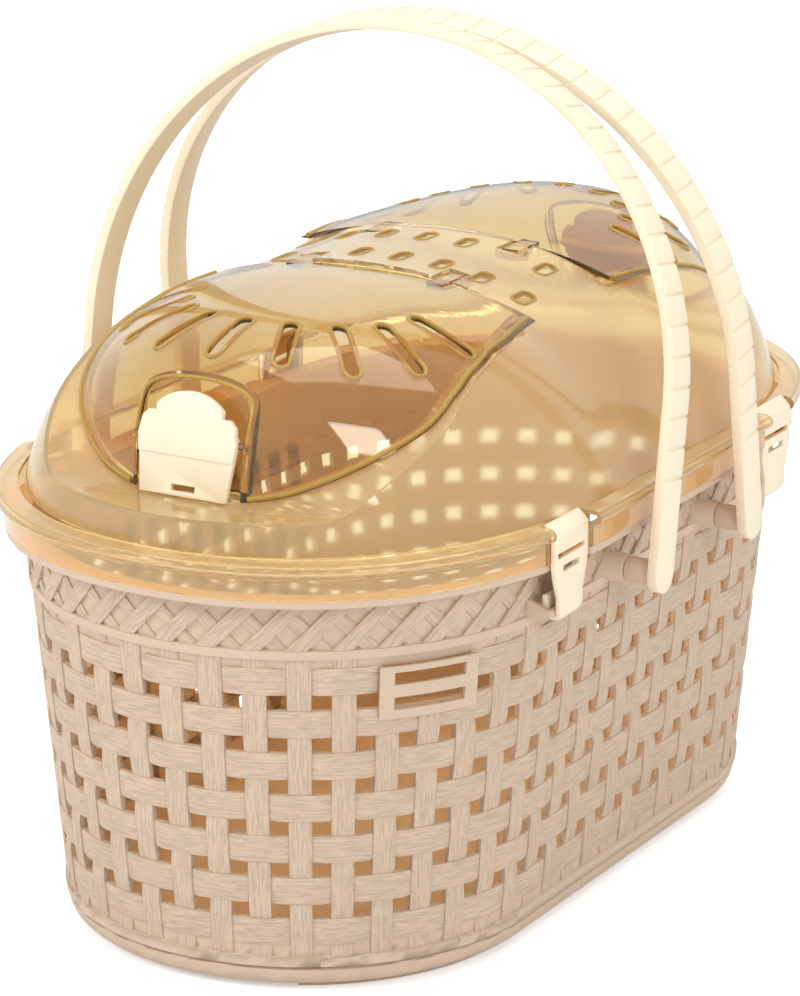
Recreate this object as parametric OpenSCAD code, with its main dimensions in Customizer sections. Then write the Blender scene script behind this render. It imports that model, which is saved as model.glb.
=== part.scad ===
// Pet carrier basket: woven tub, clear lid with two hinged doors, four side clips, two carrying handles.
// Millimetres. X across, Y along (front door at -Y), Z up, the feet stand on z = 0.

/* [Tub] */
// radius of the rounded tub ends at the base
tub_end_r = 114; // [90:1:140]
// straight length of the tub between its rounded ends
tub_straight = 202; // [120:2:260]
// outward lean of the wall, mm out per mm up
wall_slope = 0.0935; // [0:0.0005:0.15]
// wall thickness, skin of the weave to the inside face
wall_t = 3.6; // [2.5:0.1:5]
// thickness of the tub floor
floor_t = 2.6; // [1.5:0.1:5]
// radius of the bottom edge of the tub
base_edge_r = 8; // [3:0.5:14]
// height of the feet under the floor
foot_h = 2.2; // [1:0.1:6]
// width of a foot
foot_w = 7; // [4:0.5:12]

/* [Weave] */
// upright strips round the tub, an even number
weave_columns = 60; // [40:2:72]
// horizontal strips
weave_rows = 7; // [4:1:9]
// height of the lower edge of the lowest strip
weave_z0 = 21.5; // [18:0.5:30]
// distance between horizontal strips
row_pitch = 20.67; // [15:0.1:26]
// height of a horizontal strip
row_h = 13; // [8:0.5:16]
// part of the upright pitch that is strip
column_share = 0.54; // [0.4:0.01:0.7]
// how far a strip bows out over the one it crosses
bow = 1.3; // [0.5:0.1:2]
// height on the wall where the strips are spaced out
weave_mid_z = 90; // [60:1:120]
// turn of the weave round the tub, mm along the wall
weave_shift = 3.4; // [-10:0.1:10]

/* [Rim] */
// top of the tub rim, where the lid lands
rim_z = 194.3; // [170:0.1:220]
// thickness of the rim flange
rim_t = 3.3; // [2:0.1:6]
// half width of the lid skirt
lid_hw = 146; // [120:0.5:170]
// half length of the lid skirt
lid_hl = 242.3; // [200:0.5:280]
// length of a rounded skirt end
lid_end = 177; // [120:1:200]
// fullness of the skirt end curve
lid_n = 2.22; // [2:0.01:3]
// flange set in from the skirt
rim_inset = 0.8; // [0:0.1:3]
// height of a raised bead on the tub
bead_h = 5; // [3:0.5:8]
// how far a bead stands out
bead_out = 0.9; // [0.3:0.1:2]
// lower edge of the upper bead
bead_z = 162.8; // [158:0.1:180]

/* [Label plate] */
// angle of the plate centre from the front
plate_at = 56; // [20:1:85]
// arc that the plate covers
plate_arc = 21.7; // [12:1:36]
// height of the plate
plate_h = 25.5; // [16:1:40]
// thickness of the plate
plate_t = 2; // [1:0.1:4]
// height of one slot in the plate
plate_slot_h = 6; // [3:0.1:9]
// arc of the plate past each end of a slot
plate_end = 3; // [1:0.1:8]
// bar left round the slots
plate_bar = 6; // [3:0.5:10]

/* [Handles] */
// radius of the handle arch on its middle line
arch_r = 158; // [150:0.5:190]
// crown height over the pivot
crown_h = 240.5; // [190:0.5:300]
// width of the handle band
band_w = 18; // [12:0.5:26]
// thickness of the handle band
band_t = 5.2; // [3:0.1:8]
// distance between grooves on the handle
groove_pitch = 14.4; // [8:0.1:24]
// depth of a groove
groove_d = 0.8; // [0.2:0.1:2]
// width of a groove
groove_w = 1.4; // [0.5:0.1:3]
// distance of a pivot from the middle of the tub
pivot_y = 47.7; // [30:0.1:80]
// height of the pivots over the tub base
pivot_z = 171.7; // [150:0.1:185]
// gap between the two crowns at rest
crown_gap = 0.5; // [0.2:0.1:3]
// outer radius of a handle boss
boss_r = 6.8; // [5.5:0.1:10]
// end of a boss, from the middle of the tub
boss_x = 141.5; // [134:0.1:148]
// radius of the pin shaft
pin_r = 4.2; // [2:0.1:6]
// radius of the pin collar
collar_r = 6; // [4:0.1:8]
// depth of the pin socket in the leg
socket_d = 2.6; // [1:0.1:4]

/* [Lid] */
// wall of the clear shell and doors
shell_t = 2.2; // [1.5:0.1:4]
// height of the skirt band
skirt_h = 11; // [6:0.5:20]
// height of the upper flange bead
flange_h = 6.5; // [4:0.5:12]
// how far the flange bead stands out
flange_out = 4; // [0:0.5:8]
// base height of the dome curve
dome_z = 162.4; // [150:0.1:180]
// rise of the dome curve
dome_h = 146.3; // [110:0.1:170]
// half length of the dome
dome_hl = 233.9; // [200:0.1:260]
// half width of the dome
dome_hw = 145.5; // [120:0.1:150]
// dip of the bridge between the doors
bridge_dip = 11; // [0:0.5:20]
// half width of the bridge
bridge_hw = 40; // [25:0.5:60]
// length of a bridge vent
vent_l = 15; // [8:0.5:20]
// width of a bridge vent
vent_w = 6.5; // [3:0.5:9]
// distance between bridge vents
vent_pitch = 22; // [15:0.5:30]
// distance of a vent row from the middle
vent_y = 20; // [12:0.5:24]

/* [Doors] */
// half length of the door curve
door_hl = 209; // [180:0.5:225]
// half width of the door curve
door_hw = 157; // [130:0.5:170]
// top of the door curve
door_top = 299; // [280:0.5:310]
// base height of the door curve
door_z = 190; // [170:1:210]
// gap between a door and the bridge
seam_gap = 1.8; // [0.5:0.1:4]
// gap between a door and the ledge it closes on
door_gap = 0.3; // [0.1:0.1:1]
// width of the ledge under a door edge
ledge_w = 5; // [3:0.5:10]
// radius of the ring of slots
slot_ring_r = 72; // [50:1:85]
// middle of the ring of slots
slot_ring_y = 95; // [70:1:110]
// angle between slots
slot_step = 21.3; // [15:0.1:24]
// length of a slot
slot_l = 33; // [15:0.5:40]
// width of a slot
slot_w = 6.5; // [3:0.5:9]
// distance of a hinge finger from the middle
finger_x = 38; // [20:0.5:60]
// width of a hinge finger
finger_w = 9; // [5:0.5:14]
// distance of the door hinge from the middle
hinge_y = 28; // [15:0.5:34]
// height of the door hinge over the tub base
hinge_z = 291.3; // [280:0.1:300]
// radius of a door hinge pin
hinge_pin_r = 1.5; // [1:0.1:3]
// running gap of a pin in its bore
fit = 0.3; // [0.1:0.05:0.6]

/* [Latches] */
// lean of the latch panel
latch_lean = 12; // [0:1:25]
// distance of the latch foot in from the end of the door curve
latch_in = 8; // [3:0.5:30]
// height of the foot of the panel
latch_z = 227.3; // [220:0.1:240]
// width of the latch at its ears
latch_w = 51; // [30:0.5:60]
// width of the latch at its foot
latch_foot_w = 45; // [24:0.5:56]
// height of the latch shoulders
latch_h = 36; // [20:0.5:45]
// rise of the thumb tab
tab_h = 10.5; // [4:0.5:14]
// width of the thumb tab
tab_w = 34; // [16:1:44]
// radius of the rounded top of the thumb tab
tab_r = 24; // [17:0.5:40]
// thickness of the latch plate
latch_t = 2.4; // [1.5:0.1:4]
// height of the latch pivot over the foot
latch_pivot = 25; // [15:0.5:30]
// gap between the latch and the cheeks of its seat
latch_gap = 2; // [0.5:0.1:4]
// reach of the catch through the latch window
catch_reach = 1; // [0.4:0.1:2]

/* [Clips] */
// distance of a clip from the middle of the lid
clip_y = 107.5; // [70:0.5:150]
// width of a clip
clip_w = 32; // [20:0.5:44]
// width of a clip at its hook
clip_foot_w = 22; // [12:0.5:30]
// thickness of a clip
clip_t = 2.4; // [1.5:0.1:4]
// radius of the bar that a clip turns on
bar_r = 1.9; // [1:0.1:3]
// distance of the bar from the middle of the tub
bar_x = 138.4; // [134:0.1:142]
// height of the bar over the tub base
bar_z = 170; // [160:0.1:182]
// reach of the clip lip over the lid
clip_lip = 6; // [3:0.1:9]
// gap round a clip in its notch
clip_gap = 1; // [0.4:0.1:2]

/* [Hidden] */
$fn = 64;
taupe = [0.8, 0.73, 0.66];
cream = [0.95, 0.9, 0.8];
amber = [0.85, 0.68, 0.38, 0.6];

tub_c = tub_straight / 2;
mid_r = tub_end_r + wall_slope * weave_mid_z;
round_l = 4 * tub_c + 2 * PI * mid_r;
weave_top = weave_z0 + (weave_rows - 1) * row_pitch + row_h;
deg = 180 / PI;
bore_r = pin_r + fit;
leg_x = arch_r - band_t / 2;
straight_h = crown_h - band_t / 2 - arch_r;
lean = asin((pivot_y - band_w / 2 - crown_gap / 2) / crown_h);
clip_in = bar_r + fit;
clip_face = bar_x + clip_in + clip_t;
notch_x = clip_face - clip_t - fit;
lid_top = rim_z + skirt_h + flange_h;
latch_y = door_hl - latch_in;
bow_levels = [0, -bow, -wall_t];
big = 400;

// radius of the tub end at a height
function tub_r(z) = tub_end_r + wall_slope * z;

// point of the tub wall: s runs along the wall from the front, counterclockwise from above
function lap(s) = s < 0 ? s + round_l : (s >= round_l ? s - round_l : s);
function wall_xy(s, r) =
  let (q = mid_r * PI / 2, u = lap(s))
  u < q ? [r * sin(u / mid_r * deg), -tub_c - r * cos(u / mid_r * deg)] :
  u < q + 2 * tub_c ? [r, -tub_c + u - q] :
  u < 3 * q + 2 * tub_c ?
    [r * cos((u - q - 2 * tub_c) / mid_r * deg), tub_c + r * sin((u - q - 2 * tub_c) / mid_r * deg)] :
  u < 3 * q + 4 * tub_c ? [-r, tub_c - (u - 3 * q - 2 * tub_c)] :
    [-r * cos((u - 3 * q - 4 * tub_c) / mid_r * deg), -tub_c - r * sin((u - 3 * q - 4 * tub_c) / mid_r * deg)];

// plan of the lid skirt, set out by off
function skirt_pt(t, off) =
  let (c = cos(t), s = sin(t), p = 2 / lid_n, n = norm([c * lid_end, s * lid_hw]))
  [lid_hw * sign(c) * pow(abs(c), p) + off * c * lid_end / n,
   lid_end * sign(s) * pow(abs(s), p) + sign(s) * (lid_hl - lid_end) + off * s * lid_hw / n];
skirt_steps = 48;
function skirt(off) = [for (i = [0 : skirt_steps - 1]) skirt_pt((i + 0.5) * 360 / skirt_steps, off)];
function skirt_x(y) =
  let (v = max(0, abs(y) - lid_hl + lid_end) / lid_end)
  lid_hw * pow(1 - pow(v, lid_n), 1 / lid_n);

module ring(out, in, z0, z1) {
  translate([0, 0, z0]) linear_extrude(z1 - z0) difference() {
    polygon(skirt(out));
    polygon(skirt(in));
  }
}

// a profile of [radius, height] points swept round the tub
module sweep(pts) {
  for (a = [0, 180]) {
    rotate([0, 0, a]) translate([0, tub_c, 0]) rotate_extrude(angle = 180) polygon(pts);
    rotate([0, 0, a]) translate([0, tub_c, 0]) rotate([90, 0, 0]) linear_extrude(2 * tub_c) polygon(pts);
  }
}

module mirror4() {
  for (sx = [-1, 1]) for (sy = [-1, 1]) scale_signs(sx, sy) children();
}

module scale_signs(sx, sy) {
  mirror([sx < 0 ? 1 : 0, 0, 0]) mirror([0, sy < 0 ? 1 : 0, 0]) children();
}

// the tub

module tub_base() {
  color(taupe) translate([0, 0, foot_h]) {
    sweep(concat(
      [[tub_end_r - base_edge_r, 0]],
      [for (a = [-75 : 15 : 0]) [tub_r(base_edge_r) - base_edge_r * (1 - cos(a)), base_edge_r * (1 + sin(a))]],
      [[tub_r(9.6), 9.6], [tub_r(9.6) - bow, 9.8], [tub_r(10.4) - bow, 10.4],
       [tub_r(10.6) + bead_out, 10.8], [tub_r(15) + bead_out, 10.2 + bead_h], [tub_r(15.6) - bow, 15.8],
       [tub_r(weave_z0) - bow, weave_z0], [tub_r(weave_z0) - wall_t, weave_z0],
       [tub_r(floor_t) - wall_t - 2, floor_t], [tub_end_r - base_edge_r, floor_t]]));
  }
}

module tub_floor() {
  floor_r = tub_end_r - base_edge_r - fit;
  color(taupe) translate([0, 0, foot_h]) {
    linear_extrude(floor_t) stadium(floor_r);
    for (a = [0, 180]) rotate([0, 0, a]) for (m = [0, 1]) mirror([m, 0, 0])
      translate([0, tub_c, -foot_h]) rotate([0, 0, 12]) rotate_extrude(angle = 50)
        translate([floor_r - foot_w, 0]) square([foot_w, foot_h + 0.5]);
  }
}

line_count = 2 * weave_columns;
row_lines = 2 * weave_rows;
column_pitch = round_l / weave_columns;
function line_s(i) = weave_shift + (floor(i / 2) + (i % 2 == 0 ? -0.5 : 0.5) * column_share) * column_pitch;
function line_z(j) = weave_z0 + floor(j / 2) * row_pitch + (j % 2) * row_h;
function over(i, j) = (floor(i / 2) + floor(j / 2) + weave_rows) % 2 == 1;
plate_first = 2 * floor((plate_at / deg * mid_r - weave_shift) / column_pitch);
function cut_for_plate(i, j) = j >= row_lines - 3 && i >= plate_first && i <= plate_first + 2;
function full(i, j) =
  let (k = (i + line_count) % line_count)
  j >= 0 && j < row_lines - 1 && (k % 2 == 0 || j % 2 == 0) && !cut_for_plate(k, j);
function vert(i, j, lev) = (j * line_count + (i % line_count)) * 3 + lev;
function top_lev(i, j) = over(i % line_count, j) ? 0 : 1;
function upright(i, j) = i % 2 == 0 && j % 2 == 1;
// level of a corner of a cell
function lev(ci, cj, i, j) = upright(ci, cj) ? 1 : top_lev(i, j);
// does an upright end under this corner?
function tucked(i, j) =
  let (ci = i % 2 == 0 ? i : i - 1, cj = j % 2 == 1 ? j : j - 1)
  top_lev(i, j) == 0 && full(ci, cj);
function wall_face(ci, cj, i1, j1, i2, j2) =
  let (a = lev(ci, cj, i1, j1), b = lev(ci, cj, i2, j2),
       ma = a == 0 && tucked(i1, j1), mb = b == 0 && tucked(i2, j2))
  ma ? concat([vert(i1, j1, 1), vert(i1, j1, 0), vert(i2, j2, b)], mb ? [vert(i2, j2, 1)] : [],
              [vert(i2, j2, 2), vert(i1, j1, 2)]) :
  mb ? [vert(i2, j2, 1), vert(i2, j2, 2), vert(i1, j1, 2), vert(i1, j1, a), vert(i2, j2, 0)] :
       [vert(i1, j1, a), vert(i2, j2, b), vert(i2, j2, 2), vert(i1, j1, 2)];

module tub_weave() {
  pts = [for (j = [0 : row_lines - 1]) for (i = [0 : line_count - 1]) for (d = bow_levels)
    let (p = wall_xy(line_s(i), tub_r(line_z(j)) + d)) [p[0], p[1], line_z(j) + foot_h]];
  cells = [for (j = [0 : row_lines - 2]) for (i = [0 : line_count - 1]) if (full(i, j)) [i, j]];
  skin = [for (c = cells) let (i = c[0], j = c[1])
    [vert(i, j, lev(i, j, i, j)), vert(i, j + 1, lev(i, j, i, j + 1)),
     vert(i + 1, j + 1, lev(i, j, i + 1, j + 1)), vert(i + 1, j, lev(i, j, i + 1, j))]];
  back = [for (c = cells) let (i = c[0], j = c[1])
    [vert(i, j, 2), vert(i + 1, j, 2), vert(i + 1, j + 1, 2), vert(i, j + 1, 2)]];
  sides = [for (c = cells) let (i = c[0], j = c[1]) each concat(
    full(i, j - 1) ? [] : [wall_face(i, j, i, j, i + 1, j)],
    full(i, j + 1) ? [] : [wall_face(i, j, i + 1, j + 1, i, j + 1)],
    full(i + 1, j) ? [] : [wall_face(i, j, i + 1, j, i + 1, j + 1)],
    full(i - 1, j) ? [] : [wall_face(i, j, i, j + 1, i, j)])];
  steps = [for (c = cells) let (i = c[0], j = c[1]) if (i % 2 == 0 && j % 2 == 0 && over(i, j)) each concat(
    full(i, j + 1) ? [[vert(i + 1, j + 1, 0), vert(i, j + 1, 0), vert(i, j + 1, 1), vert(i + 1, j + 1, 1)]] : [],
    full(i, j - 1) ? [[vert(i, j, 0), vert(i + 1, j, 0), vert(i + 1, j, 1), vert(i, j, 1)]] : [])];
  color(taupe) polyhedron(pts, concat(skin, back, sides, steps));
}

module tub_rim() {
  w0 = weave_top;
  b1 = bead_z + bead_h;
  f0 = rim_z - rim_t;
  color(taupe) translate([0, 0, foot_h]) difference() {
    union() {
      sweep([[tub_r(w0) - wall_t, w0], [tub_r(w0) - bow, w0], [tub_r(bead_z) - bow, bead_z],
        [tub_r(bead_z) + bead_out, bead_z + 0.4], [tub_r(b1) + bead_out, b1 - 0.4], [tub_r(b1) - bow, b1],
        [tub_r(f0) - bow, f0 + 0.01], [tub_r(f0) + 1, f0 + 0.01], [tub_r(f0) + 1, rim_z],
        [tub_r(rim_z) - wall_t, rim_z]]);
      translate([0, 0, f0]) linear_extrude(rim_t) difference() {
        polygon(skirt(-rim_inset));
        stadium(tub_r(rim_z) - wall_t + 0.5);
      }
      mirror4() {
        translate([tub_r(pivot_z) - wall_t + 0.6, pivot_y, pivot_z]) rotate([0, 90, 0])
          cylinder(r = boss_r, h = boss_x - tub_r(pivot_z) + wall_t - 0.6);
        clip_bar();
      }
    }
    mirror4() {
      translate([tub_r(pivot_z) - 0.6, pivot_y, pivot_z]) rotate([0, 90, 0])
        cylinder(r = bore_r, h = 40);
      translate([notch_x - fit, clip_y - clip_w / 2 - clip_gap, rim_z - rim_t - 1])
        cube([40, clip_w + 2 * clip_gap, rim_t + 2]);
    }
  }
}

module stadium(r) {
  translate([0, tub_c]) circle(r = r, $fn = 96);
  translate([0, -tub_c]) circle(r = r, $fn = 96);
  translate([-r, -tub_c]) square([2 * r, 2 * tub_c]);
}

// the bar under the rim that a clip hooks on, between two lugs
module clip_bar() {
  half = clip_foot_w / 2 + clip_gap;
  translate([bar_x, clip_y + half + 2.4, bar_z]) rotate([90, 0, 0]) cylinder(r = bar_r, h = 2 * half + 4.8);
  for (m = [-half - 2.4, half]) translate([0, clip_y + m, 0]) rotate([90, 0, 0]) mirror([0, 0, 1])
    linear_extrude(2.4) polygon([[tub_r(bar_z) - wall_t + 1, bar_z - bar_r - 4], [bar_x, bar_z - bar_r],
      [bar_x + bar_r, bar_z], [bar_x, bar_z + bar_r], [tub_r(bar_z) - wall_t + 1, bar_z + bar_r + 4]]);
}

module label_plate() {
  zc = weave_top - 0.2;
  z0 = zc - plate_h;
  half = plate_arc / 2;
  color(taupe) translate([0, -tub_c, foot_h]) rotate([0, 0, plate_at - 90 - half]) difference() {
    rotate_extrude(angle = plate_arc) polygon([[tub_r(z0) + 0.3, z0], [tub_r(z0) + 0.3 + plate_t, z0],
      [tub_r(zc) + 0.3 + plate_t, zc], [tub_r(zc) + 0.3, zc]]);
    for (k = [0, 1]) {
      s0 = zc - plate_bar / 2 - plate_slot_h - k * (plate_slot_h + plate_bar);
      rotate([0, 0, plate_end]) rotate_extrude(angle = plate_arc - 2 * plate_end)
        translate([tub_r(0), s0]) square([30, plate_slot_h]);
    }
  }
}

// the lid, its doors and their latches

function dome_half(y, e) =
  let (b = dome_hl * 0.7687, v = max(0, abs(y) - (dome_hl - b)) / b)
  max(0.5, dome_hw * pow(max(0, 1 - pow(v, 2.2)), 1 / 2.2) - e);
function dome_rise(y, e) =
  dome_h * pow(max(0, 1 - pow(abs(y) / dome_hl, 2.584)), 1 / 4.779) - bridge_dip / (1 + pow(abs(y) / 60, 6)) - e;
function door_half(y, e) = max(0.5, door_hw * sqrt(max(0, 1 - pow(y / door_hl, 2))) - e);
function door_rise(y, e) =
  (door_top - door_z) * pow(max(0, 1 - pow(abs(y) / door_hl, 8)), 0.25) - 3 / (1 + pow(abs(y) / 60, 6)) - e;

// a closed loft of superelliptic sections over y; half and rise hold one value for each section
module loft(ys, half, rise, z0, n, steps) {
  m = len(ys);
  k = steps + 1;
  pts = [for (i = [0 : m - 1]) for (j = [0 : steps]) let (c = cos(j * 180 / steps), s = sin(j * 180 / steps))
    [half[i] * sign(c) * pow(abs(c), 2 / n), ys[i], z0 + rise[i] * pow(max(s, 0), 2 / n)]];
  polyhedron(pts, concat(
    [for (i = [0 : m - 2]) for (j = [0 : steps - 1]) each [[i * k + j, (i + 1) * k + j, (i + 1) * k + j + 1],
      [i * k + j, (i + 1) * k + j + 1, i * k + j + 1]]],
    [for (i = [0 : m - 2]) [i * k + steps, (i + 1) * k + steps, (i + 1) * k, i * k]],
    [[for (j = [0 : steps]) j]],
    [[for (j = [steps : -1 : 0]) (m - 1) * k + j]]));
}

dome_steps = 16;
module dome(e) {
  hl = dome_hl - e;
  ys = [for (i = [8 : -1 : -8]) hl * 0.9995 * sin(i * 11.25)];
  loft(ys, [for (y = ys) dome_half(y, e)], [for (y = ys) max(1, dome_rise(y * dome_hl / hl, e))],
    dome_z, 2.293, dome_steps);
}

module door_dome(e) {
  hl = door_hl - e;
  ys = [for (a = [10.8, 20, 30, 40, 50, 60, 69, 77, 84, 88.5]) -hl * sin(a)];
  loft(ys, [for (y = ys) door_half(y * door_hl / hl, e)], [for (y = ys) max(1, door_rise(y * door_hl / hl, e))],
    door_z, 2.3, 16);
}

// the ledge that a door closes on, as parts of the door's half length and of its rise
ledge_curve = [[0.9952, 0.3376], [0.9569, 0.3633], [0.9091, 0.422], [0.8301, 0.5092], [0.7081, 0.6147],
  [0.6268, 0.6972], [0.5407, 0.7615], [0.4306, 0.8101]];
ledge_far = lid_hl + 20;
function ledge_at(part) = door_z + part * (door_top - door_z);
ledge_pts = concat([[ledge_far, ledge_at(0.3303)]],
  [for (p = ledge_curve) [p[0] * door_hl, ledge_at(p[1])]],
  [[bridge_hw, ledge_at(0.8422)]]);

// the room under (top = false) or over the ledge, moved by dz, from seam outwards
module ledge_room(dz, seam, over_it) {
  pts = [for (p = ledge_pts) [-max(p[0], seam), p[1] + dz]];
  translate([-big / 2, 0, 0]) rotate([90, 0, 90]) linear_extrude(big)
    polygon(concat(pts, over_it ? [[-seam, big], [-ledge_far, big]] : [[-seam, 0], [-ledge_far, 0]]));
}

module bridge_room(half) {
  translate([-big / 2, -half, 0]) cube([big, 2 * half, big]);
}

module both_ends() {
  children();
  mirror([0, 1, 0]) children();
}

module latch_frame(front) {
  translate([0, -latch_y, latch_z]) rotate([-latch_lean, 0, 0]) children();
}

vent_cells = [-3.2, -2.2, -1.2, -0.2, 0.8, 2.75];
seat_w = latch_w / 2 + latch_gap;
seat_low = 10;
seat_top = latch_h + tab_h + 5.5;
latch_back = 6.2;
latch_axis = 5;
catch_at = 1.5;

module lid_shell() {
  color(amber) translate([0, 0, foot_h]) union() {
    difference() {
      union() {
        intersection() {
          dome(0);
          union() {
            both_ends() ledge_room(0, bridge_hw, false);
            bridge_room(bridge_hw);
          }
          translate([-big / 2, -big, lid_top - 1]) cube([big, 2 * big, big]);
        }
        ring(0, -shell_t, rim_z, rim_z + skirt_h + 0.5);
        ring(flange_out, -shell_t, rim_z + skirt_h, rim_z + skirt_h + 2);
        ring(flange_out, flange_out - 2, rim_z + skirt_h, lid_top - 1);
        translate([0, 0, lid_top - 2.2]) linear_extrude(2.2) polygon(skirt(flange_out));
        for (sx = [-1, 1]) for (sy = [-1, 1]) scale_signs(sx, sy)
          translate([skirt_x(clip_y) - 12, clip_y - clip_w / 2 - clip_gap - 2, rim_z])
            cube([12 + flange_out * 0.6, clip_w + 2 * clip_gap + 4, lid_top - rim_z - 0.5]);
      }
      intersection() {
        dome(shell_t);
        union() {
          both_ends() ledge_room(-shell_t, bridge_hw, false);
          bridge_room(bridge_hw);
        }
      }
      both_ends() intersection() {
        door_dome(ledge_w);
        translate([-big / 2, -latch_y + 3, 0]) cube([big, latch_y - 3 - bridge_hw + 1, big]);
      }
      for (a = [0, 180]) rotate([0, 0, a]) {
        for (v = vent_cells) translate([v * vent_pitch, vent_y, 0]) hull() {
          for (m = [-1, 1]) translate([0, m * (vent_l - vent_w) / 2, hinge_z - 25])
            cylinder(d = vent_w, h = 40, $fn = 14);
        }
        for (m = [-1, 1]) translate([m * finger_x - finger_w / 2 - 1, hinge_y - 5.5, hinge_z - 12])
          cube([finger_w + 2, bridge_hw - hinge_y + 6.5, 30]);
      }
      for (sx = [-1, 1]) for (sy = [-1, 1]) scale_signs(sx, sy) {
        clip_notch();
        translate([finger_x, hinge_y, hinge_z]) rotate([0, 90, 0])
          cylinder(r = hinge_pin_r + 0.2, h = finger_w + 7, center = true, $fn = 16);
      }
    }
    both_ends() {
      intersection() {
        latch_frame() translate([-6, -latch_back + 0.4, -4]) cube([12, 1.5, 9]);
        ledge_room(-1, bridge_hw, true);
      }
      latch_frame() translate([-5.5, 0, 0]) rotate([90, 0, 90]) linear_extrude(11)
        polygon([[-latch_back + 0.5, catch_at], [-latch_back + 0.4 - catch_reach, catch_at + 2.2 * catch_reach],
          [-latch_back + 0.5, catch_at + 2.2 * catch_reach]]);
    }
    for (a = [0, 180]) rotate([0, 0, a]) for (m = [-1, 1]) for (k = [-1, 1])
      translate([m * finger_x + k * (finger_w / 2 + 2), hinge_y, hinge_z]) difference() {
        rotate([0, 90, 0]) cylinder(r = hinge_pin_r + 1.6, h = 2.2, center = true, $fn = 14);
        rotate([0, 90, 0]) cylinder(r = hinge_pin_r + 0.2, h = 4, center = true, $fn = 16);
      }
  }
}

// room for a clip in the skirt and flange, with a sloped shoulder under its lip
module clip_notch() {
  w = clip_w + 2 * clip_gap;
  translate([0, clip_y + w / 2, 0]) rotate([90, 0, 0]) linear_extrude(w)
    polygon([[notch_x, rim_z - 5], [lid_hw + 50, rim_z - 5], [lid_hw + 50, lid_top + 5],
      [clip_face - clip_lip - 1, lid_top + 5],
      [clip_face - clip_lip - 1, lid_top - fit], [clip_face - clip_lip, lid_top - fit],
      [notch_x, lid_top - fit - lip_drop]]);
  translate([notch_x - 30, clip_y - w / 2, rim_z - 1]) cube([30 - shell_t, w, lid_top - rim_z - 2.5]);
}
lip_drop = 3.3;

module door() {
  color(amber) translate([0, 0, foot_h]) {
    difference() {
      union() {
        intersection() {
          difference() {
            door_dome(0);
            door_dome(shell_t);
            latch_frame() translate([-seat_w, -40, -seat_low]) cube([2 * seat_w, 40, seat_low + seat_top]);
          }
          ledge_room(door_gap, bridge_hw + seam_gap, true);
        }
        intersection() {
          door_dome(0);
          ledge_room(door_gap, bridge_hw + seam_gap, true);
          latch_frame() difference() {
            translate([-seat_w - shell_t, -30, -seat_low])
              cube([2 * seat_w + 2 * shell_t, 30 + shell_t, seat_low + seat_top + shell_t]);
            translate([-seat_w, -40, -2 * seat_low]) cube([2 * seat_w, 40, 2 * seat_low + seat_top]);
          }
        }
        fingers();
      }
      for (k = [-4 : 4]) slot_at(k) hull() slot_ends(slot_w, 90);
      latch_frame() translate([0, -latch_axis, latch_pivot]) rotate([0, 90, 0])
        cylinder(r = hinge_pin_r + 0.2, h = 2 * seat_w + 2 * shell_t + 1, center = true, $fn = 20);
    }
  }
}

module slot_at(k) {
  translate([0, -slot_ring_y, hinge_z - 40]) rotate([0, 0, k * slot_step]) translate([0, -slot_ring_r, 0]) children();
}

module slot_ends(d, h) {
  for (m = [-1, 1]) translate([0, m * (slot_l - slot_w) / 2, 0]) cylinder(d = d, h = h, $fn = 14);
}

module fingers() {
  for (m = [-1, 1]) translate([m * finger_x - finger_w / 2, 0, 0]) rotate([90, 0, 90])
    linear_extrude(finger_w) difference() {
    union() {
      translate([-hinge_y, hinge_z]) circle(r = hinge_pin_r + 1.9, $fn = 24);
      polygon([[-hinge_y, hinge_z + hinge_pin_r + 1.9], [-hinge_y, hinge_z - 1],
        [-bridge_hw - seam_gap - 6, hinge_z - 1], [-bridge_hw - seam_gap - 6, hinge_z + 3.4]]);
    }
    translate([-hinge_y, hinge_z]) circle(r = hinge_pin_r + fit, $fn = 24);
  }
}

module hinge_pin(side) {
  color(amber) translate([side * finger_x, -hinge_y, hinge_z + foot_h]) rotate([0, 90, 0])
    cylinder(r = hinge_pin_r, h = finger_w + 6.2, center = true);
}

module latch() {
  y1 = -latch_back;
  y0 = -latch_back - latch_t;
  color(cream) translate([0, 0, foot_h]) latch_frame() difference() {
    union() {
      translate([0, y1, 0]) rotate([90, 0, 0]) linear_extrude(latch_t) latch_outline();
      translate([0, y0 + 0.01, 0]) rotate([90, 0, 0]) linear_extrude(1) intersection() {
        latch_outline();
        translate([-latch_w, latch_pivot - 8]) square([2 * latch_w, 60]);
      }
      translate([0, -latch_axis, latch_pivot]) rotate([0, 90, 0])
        cylinder(r = hinge_pin_r + 1.7, h = latch_w - 3, center = true);
    }
    translate([0, -latch_axis, latch_pivot]) rotate([0, 90, 0])
      cylinder(r = hinge_pin_r + fit, h = latch_w + 3, center = true);
    translate([-6.2, y0 - 2, catch_at - 0.3]) cube([12.4, latch_t + 4, 2.2 * catch_reach + 0.8]);
  }
}

module latch_outline() {
  polygon([[-latch_foot_w / 2, -1], [latch_foot_w / 2, -1], [latch_w / 2, latch_pivot],
    [latch_w / 2 - 1.5, latch_h - 3], [latch_w / 2 - 4.5, latch_h], [-latch_w / 2 + 4.5, latch_h],
    [-latch_w / 2 + 1.5, latch_h - 3], [-latch_w / 2, latch_pivot]]);
  intersection() {
    translate([0, latch_h + tab_h - tab_r]) circle(r = tab_r);
    translate([-tab_w / 2, latch_pivot]) square([tab_w, latch_h]);
  }
}

module latch_pin() {
  color(amber) translate([0, 0, foot_h]) latch_frame() translate([0, -latch_axis, latch_pivot]) rotate([0, 90, 0])
    cylinder(r = hinge_pin_r, h = 2 * seat_w + 2 * shell_t - 0.2, center = true);
}

// the clips

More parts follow.
